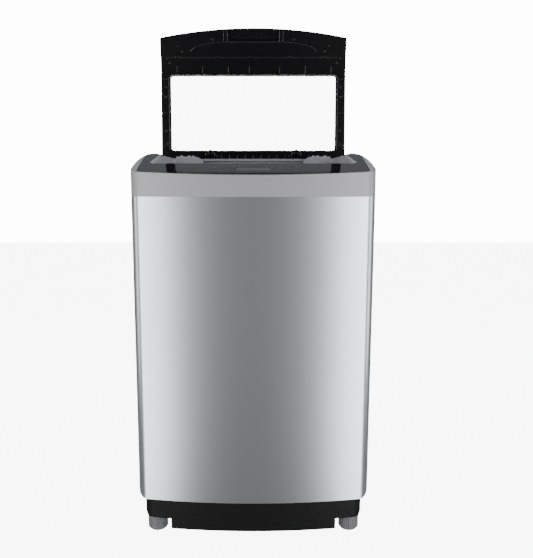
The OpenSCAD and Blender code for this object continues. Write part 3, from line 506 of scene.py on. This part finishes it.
recess_top, recess_bottom = front_y_at(87.5 * MM), front_y_at(58 * MM)
bars.append(add_bar(0, recess_bottom, 146 * MM, 1.3 * MM, 0.8 * MM))
bars.append(add_bar(0, recess_top - 1 * MM, 120 * MM, 1.0 * MM, 0.5 * MM))
rail_middle_y, rail_length = flat_y_at(112 * MM), 196 * MM
for side in (-1, 1):
    for x in (70, 80):
        bars.append(add_bar(side * x * MM, (recess_top + recess_bottom) / 2, 1.2 * MM, 26 * MM,
            0.9 * MM))
    bars += add_curved_rib(side, 72 * MM, recess_bottom, 170 * MM, front_y_at(33 * MM))
    for distance in (203.5, 158, 113, 67, 24):
        bars.append(add_bar(side * 241 * MM, flat_y_at(distance * MM), 20 * MM, 1.1 * MM, 0.8 * MM))
    for x in (231, 251):
        bars.append(add_bar(side * x * MM, rail_middle_y, 1.0 * MM, rail_length, 0.6 * MM))

# The short ribs behind the hinge line leave out the places of the two hinge brackets.
hinge_rib_pitch = 22 * MM
for i in [-9, -8, -7, -4, -3, -2, -1, 0, 1, 2, 3, 4, 7, 8, 9]:
    bars.append(add_bar(i * hinge_rib_pitch, flat_y_at(-6 * MM), 1.0 * MM, 10 * MM, 0.5 * MM))
print("bars on the underside:", len(bars))
ribs = join(bars, "lid_ribs")
soften(ribs, 0.25 * MM, 2, 40)
lay_on_underside(ribs)
smooth(ribs, 50)
# The ribs take the lighter colour that paints their highlight.
settle(ribs, "lid", rib_painted_highlight)

# %% Dots of the finger recess, and six ejector marks
recess_depth = 8 * MM
dot_pitch = 10.6
dots = []
for reach, first in ((78.4, -40), (72, -34)):
    for i in range(8):
        dots.append(add_dot((first + dot_pitch * i) * MM, front_y_at(reach * MM), 1.1 * MM, 0.4 * MM,
            drop=recess_depth))
dots += [add_dot(side * x * MM, front_y_at(reach * MM), 2.2 * MM) for side in (-1, 1)
    for x, reach in ((114, 66), (205, 48), (236, 16))]
pips = join(dots, "lid_pips")
soften(pips, 0.2 * MM, 2, 40)
lay_on_underside(pips)
smooth(pips, 50)
settle(pips, "lid", screw_black)
print("dots:", len(dots))

# %% [markdown]
# ## The printed marks of the control strip
# The strip carries a few faint printed arcs beside its keys. They are generic, and stand for print, so
# each is a short arc of a thin ring that stands only about a tenth of a millimetre above the gloss.

# %% Marks on the strip
STRIP = Matrix.Translation((0, front_y, lip_z)) @ Matrix.Rotation(slope, 4, "X")
ink = new_finish("pale_ink", (0.26, 0.27, 0.28), 0.5)
vary_color(ink, (0.22, 0.23, 0.24), (0.3, 0.31, 0.32), 500)


def add_arc_mark(x, up, radius):
    """The part of a thin ring above a level line, pressed flat and laid on the sloping strip."""
    flatness = 0.4
    cut_level = 0.3 * radius
    bpy.ops.object.select_all(action="DESELECT")
    bpy.ops.mesh.primitive_torus_add(major_radius=radius, minor_radius=0.22 * MM, major_segments=28,
        minor_segments=5, location=(0, 0, 0))
    mark = bpy.context.active_object
    bpy.ops.object.mode_set(mode="EDIT")
    bpy.ops.mesh.select_all(action="SELECT")
    bpy.ops.mesh.bisect(plane_co=(0, cut_level, 0), plane_no=(0, 1, 0), use_fill=True,
        clear_inner=True)
    bpy.ops.object.mode_set(mode="OBJECT")
    for vertex in mark.data.vertices:
        vertex.co.z *= flatness
    mark.data.transform(STRIP @ Matrix.Translation((x, up, 0)))
    return mark


marks = [add_arc_mark(x * MM, 66 * MM, 3.2 * MM) for x in (-85, -43, -30, 30, 42, 61, 97)]
print_marks = join(marks, "strip_marks")
smooth(print_marks, 60)
settle(print_marks, "cabinet", ink)
print("marks:", len(marks))

# %% [markdown]
# ## The drilled basket
# A real basket is sheet steel with hundreds of punched holes, rolled into a drum. It is made here the
# same way: one square cell with a hole, repeated across a flat sheet, then rolled up. Cutting the
# holes out of a finished drum with booleans would be slow and would leave ragged faces.

# %% Basket wall
basket_low, basket_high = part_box("wash_basket")
columns, rows = 72, 25
drum_r = basket_high.x
cell_w = 2 * math.pi / columns
wall_low, wall_high = basket_low.z + 44 * MM, basket_high.z
cell_h = (wall_high - wall_low) / rows
hole_r = 0.17


def add_drilled_cell():
    """One cell of the sheet, one unit square, with an eight-sided hole in its middle."""
    mesh = bpy.data.meshes.new("drilled_cell")
    work = bmesh.new()
    outer = [work.verts.new((x, y, 0)) for x, y in
        ((1, 0.5), (1, 1), (0.5, 1), (0, 1), (0, 0.5), (0, 0), (0.5, 0), (1, 0))]
    hole = [work.verts.new((0.5 + hole_r * math.cos(a), 0.5 + hole_r * math.sin(a), 0))
        for a in (i * math.pi / 4 for i in range(8))]
    for i in range(8):
        j = (i + 1) % 8
        work.faces.new((outer[i], outer[j], hole[j], hole[i]))
    work.to_mesh(mesh)
    work.free()
    cell = bpy.data.objects.new("drilled_cell", mesh)
    bpy.context.collection.objects.link(cell)
    return cell


drum = add_drilled_cell()
add_modifier(drum, "ARRAY", count=columns, use_merge_vertices=True, merge_threshold=0.001)
add_modifier(drum, "ARRAY", count=rows, use_merge_vertices=True, merge_threshold=0.001,
    relative_offset_displace=(0, 1, 0))
for vertex in drum.data.vertices:
    angle = vertex.co.x * cell_w
    height = wall_low + vertex.co.y * cell_h
    vertex.co = (drum_r * math.cos(angle), drum_r * math.sin(angle), height)
select_only(drum)
bpy.ops.object.mode_set(mode="EDIT")
bpy.ops.mesh.select_all(action="SELECT")
bpy.ops.mesh.remove_doubles(threshold=0.0001)
bpy.ops.mesh.normals_make_consistent(inside=False)
bpy.ops.object.mode_set(mode="OBJECT")
add_modifier(drum, "SOLIDIFY", thickness=1.0 * MM, offset=-1)
print("basket wall faces:", len(drum.data.polygons))

# %% Basket foot and the joined basket
def add_ring(name, profile, segments=96):
    """A closed profile in radius and height, spun about the upright axis."""
    mesh = bpy.data.meshes.new(name)
    work = bmesh.new()
    points = [work.verts.new((r, 0, z)) for r, z in profile]
    for i, point in enumerate(points):
        work.edges.new((point, points[(i + 1) % len(points)]))
    work.to_mesh(mesh)
    work.free()
    ring = bpy.data.objects.new(name, mesh)
    bpy.context.collection.objects.link(ring)
    select_only(ring)
    bpy.ops.object.mode_set(mode="EDIT")
    bpy.ops.mesh.select_all(action="SELECT")
    bpy.ops.mesh.spin(steps=segments, angle=2 * math.pi, center=(0, 0, 0), axis=(0, 0, 1))
    bpy.ops.mesh.remove_doubles(threshold=0.00001)
    bpy.ops.mesh.normals_make_consistent(inside=False)
    bpy.ops.object.mode_set(mode="OBJECT")
    return ring


foot_z = basket_low.z
foot_top = wall_low + 1 * MM
foot_in = drum_r - 26 * MM
sheet = 1.2 * MM
foot_ring = add_ring("basket_foot", [(foot_in, foot_z), (drum_r, foot_z), (drum_r, foot_top),
    (drum_r - sheet, foot_top), (drum_r - sheet, foot_z + sheet), (foot_in, foot_z + sheet)])
basket = join([drum, foot_ring], "perforated_basket")
smooth(basket, 40)
settle(basket, "basket_unit", basket_steel, ["wash_basket"])

# %% Rings, base, pulsator and small inner parts
for node, width in [("balance_ring", 1.2), ("basket_base", 1.0), ("pulsator", 1.6),
        ("pulsator_cap", 0.6), ("tub_cover", 0.8), ("outer_tub", 0.8), ("drain_valve", 0.8),
        ("motor", 0.8), ("drive_pulley", 0.6), ("motor_pulley", 0.5), ("bearing_housing", 0.8),
        ("suspension_brackets", 0.3), ("basket_hub", 0.6), ("lid_screws", 0.3), ("lid_switch", 0.4),
        ("level_sensor", 0.6), ("drive_bracket", 0.4), ("rear_screws", 0.4), ("hinge_pins", 0.3),
        ("lid_bumpers", 0.5)]:
    refine_and_settle(node, finish_of_slot[slot_of_node[node]], bevel=width)

# %% [markdown]
# ## Suspension springs
# A coil spring is one round wire wound in a helix. The Screw modifier winds a small circle round the
# rod's axis, which gives an even pitch and a clean mesh. Its ends are closed afterwards.

# %% Springs
spring_low, spring_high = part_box("suspension_springs")
rod_low, rod_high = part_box("suspension_rods")
rod_r = 16 * MM
coil_r, wire_r, turns = 10 * MM, 1.7 * MM, 6
steps_per_turn = 14


def add_spring(x, y):
    bpy.ops.object.select_all(action="DESELECT")
    bpy.ops.mesh.primitive_circle_add(vertices=8, radius=wire_r, location=(coil_r, 0, 0),
        rotation=(math.pi / 2, 0, 0), fill_type="NOTHING")
    coil = bpy.context.active_object
    bake_place(coil)
    rise = spring_high.z - spring_low.z - 2 * wire_r
    steps = steps_per_turn * turns
    add_modifier(coil, "SCREW", axis="Z", angle=2 * math.pi * turns, screw_offset=rise, steps=steps,
        render_steps=steps)
    bpy.ops.object.mode_set(mode="EDIT")
    bpy.ops.mesh.select_all(action="SELECT")
    bpy.ops.mesh.fill_holes(sides=8)
    bpy.ops.mesh.normals_make_consistent(inside=False)
    bpy.ops.object.mode_set(mode="OBJECT")
    coil.data.transform(Matrix.Translation((x, y, spring_low.z + wire_r)))
    return coil


spring_places = [(x, y) for x in (rod_low.x + rod_r, rod_high.x - rod_r)
    for y in (rod_low.y + rod_r, rod_high.y - rod_r)]
springs = join([add_spring(x, y) for x, y in spring_places], "coil_springs")
smooth(springs, 60)
settle(springs, "cabinet", spring, ["suspension_springs"])
print("springs:", len(spring_places), "faces:", len(springs.data.polygons))

# %% [markdown]
# ## Camera, light and floor
# The camera stands a little below the rails' height, about 1.4 m in front, and looks slightly down. Two
# tall soft panels stand left and right of it: the bowed front mirrors them near its edges, and the dim
# room between them in its middle. Two fills light the sides, and a large soft light hangs above. The
# floor glows and the room is shown as white to the camera, but neither lights the object nor shows in its
# reflections. That part is left to a dimmer room, because white all round would wash out the steel.

# %% Stage
def add_camera():
    distance, height, tilt_down = 1.405, 0.836, 8.8
    bow = 25 * MM
    data = bpy.data.cameras.new("camera")
    data.lens = 41.3
    data.sensor_width = 36
    data.shift_x = 0.0237
    data.clip_start = 0.05
    camera = bpy.data.objects.new("camera", data)
    bpy.context.collection.objects.link(camera)
    camera.location = (0, front_y + bow - distance, height)
    camera.rotation_euler = (math.radians(90 - tilt_down), 0, 0)
    bpy.context.scene.camera = camera


def add_panel_light(name, place, target, size_x, size_y, power):
    data = bpy.data.lights.new(name, "AREA")
    data.shape = "RECTANGLE"
    data.size, data.size_y = size_x, size_y
    data.energy = power
    light = bpy.data.objects.new(name, data)
    bpy.context.collection.objects.link(light)
    light.location = place
    light.rotation_euler = (Vector(target) - Vector(place)).to_track_quat("-Z", "Y").to_euler()


def add_floor():
    bpy.ops.object.select_all(action="DESELECT")
    bpy.ops.mesh.primitive_plane_add(size=14, location=(0, 0, cad_box[0][2]))
    floor = bpy.context.active_object
    floor.name = "floor"
    pale = new_finish("pale_floor", (0.9, 0.9, 0.9), 0.8, Emission_Color=(1, 1, 1, 1),
        Emission_Strength=8.0)
    vary_color(pale, (0.89, 0.89, 0.89), (0.91, 0.91, 0.91), 3)
    floor.data.materials.append(pale)
    bake_place(floor)
    floor.visible_glossy = False
    floor.visible_diffuse = False
    floor.visible_shadow = False


def set_room(seen_white, front_light, rear_light):
    """White to the camera and through the pane. Surfaces are lit by a dim front and a brighter rear."""
    deepest_pane_ray = 3.5
    world = bpy.data.worlds.new("room")
    bpy.context.scene.world = world
    world.use_nodes = True
    tree = world.node_tree
    tree.nodes.clear()
    path = tree.nodes.new("ShaderNodeLightPath")
    shallow = tree.nodes.new("ShaderNodeMath")
    shallow.operation = "LESS_THAN"
    shallow.inputs[1].default_value = deepest_pane_ray
    pane = tree.nodes.new("ShaderNodeMath")
    pane.operation = "MULTIPLY"
    direct = tree.nodes.new("ShaderNodeMath")
    direct.operation = "MAXIMUM"
    coords = tree.nodes.new("ShaderNodeTexCoord")
    split = tree.nodes.new("ShaderNodeSeparateXYZ")
    span = tree.nodes.new("ShaderNodeMapRange")
    span.inputs["From Min"].default_value = -0.35
    span.inputs["From Max"].default_value = 0.5
    span.inputs["To Min"].default_value = front_light
    span.inputs["To Max"].default_value = rear_light
    seen = tree.nodes.new("ShaderNodeBackground")
    lit = tree.nodes.new("ShaderNodeBackground")
    mix = tree.nodes.new("ShaderNodeMixShader")
    out = tree.nodes.new("ShaderNodeOutputWorld")
    seen.inputs["Color"].default_value = (1, 1, 1, 1)
    seen.inputs["Strength"].default_value = seen_white
    lit.inputs["Color"].default_value = (0.94, 0.97, 1, 1)
    tree.links.new(coords.outputs["Generated"], split.inputs["Vector"])
    tree.links.new(split.outputs["Y"], span.inputs["Value"])
    tree.links.new(span.outputs["Result"], lit.inputs["Strength"])
    tree.links.new(path.outputs["Is Camera Ray"], direct.inputs[0])
    tree.links.new(path.outputs["Ray Depth"], shallow.inputs[0])
    tree.links.new(shallow.outputs["Value"], pane.inputs[0])
    tree.links.new(path.outputs["Is Transmission Ray"], pane.inputs[1])
    tree.links.new(pane.outputs["Value"], direct.inputs[1])
    tree.links.new(direct.outputs["Value"], mix.inputs["Fac"])
    tree.links.new(lit.outputs["Background"], mix.inputs[1])
    tree.links.new(seen.outputs["Background"], mix.inputs[2])
    tree.links.new(mix.outputs["Shader"], out.inputs["Surface"])


add_camera()
add_floor()
set_room(seen_white=14.0, front_light=0.12, rear_light=0.26)
middle = (0, 0, 0.62)
panel_z = 0.36
add_panel_light("left_panel", (-1.5, -2.0, panel_z), (0, 0, panel_z), 0.95, 3.3, 67)
add_panel_light("right_panel", (1.5, -2.0, panel_z), (0, 0, panel_z), 0.95, 3.3, 75)
add_panel_light("left_fill", (-2.6, -0.7, 0.7), middle, 0.9, 2.0, 16)
add_panel_light("right_fill", (2.6, -0.7, 0.7), middle, 0.9, 2.0, 22)
add_panel_light("top_panel", (0, 0.2, 3.0), middle, 2.2, 2.2, 36)
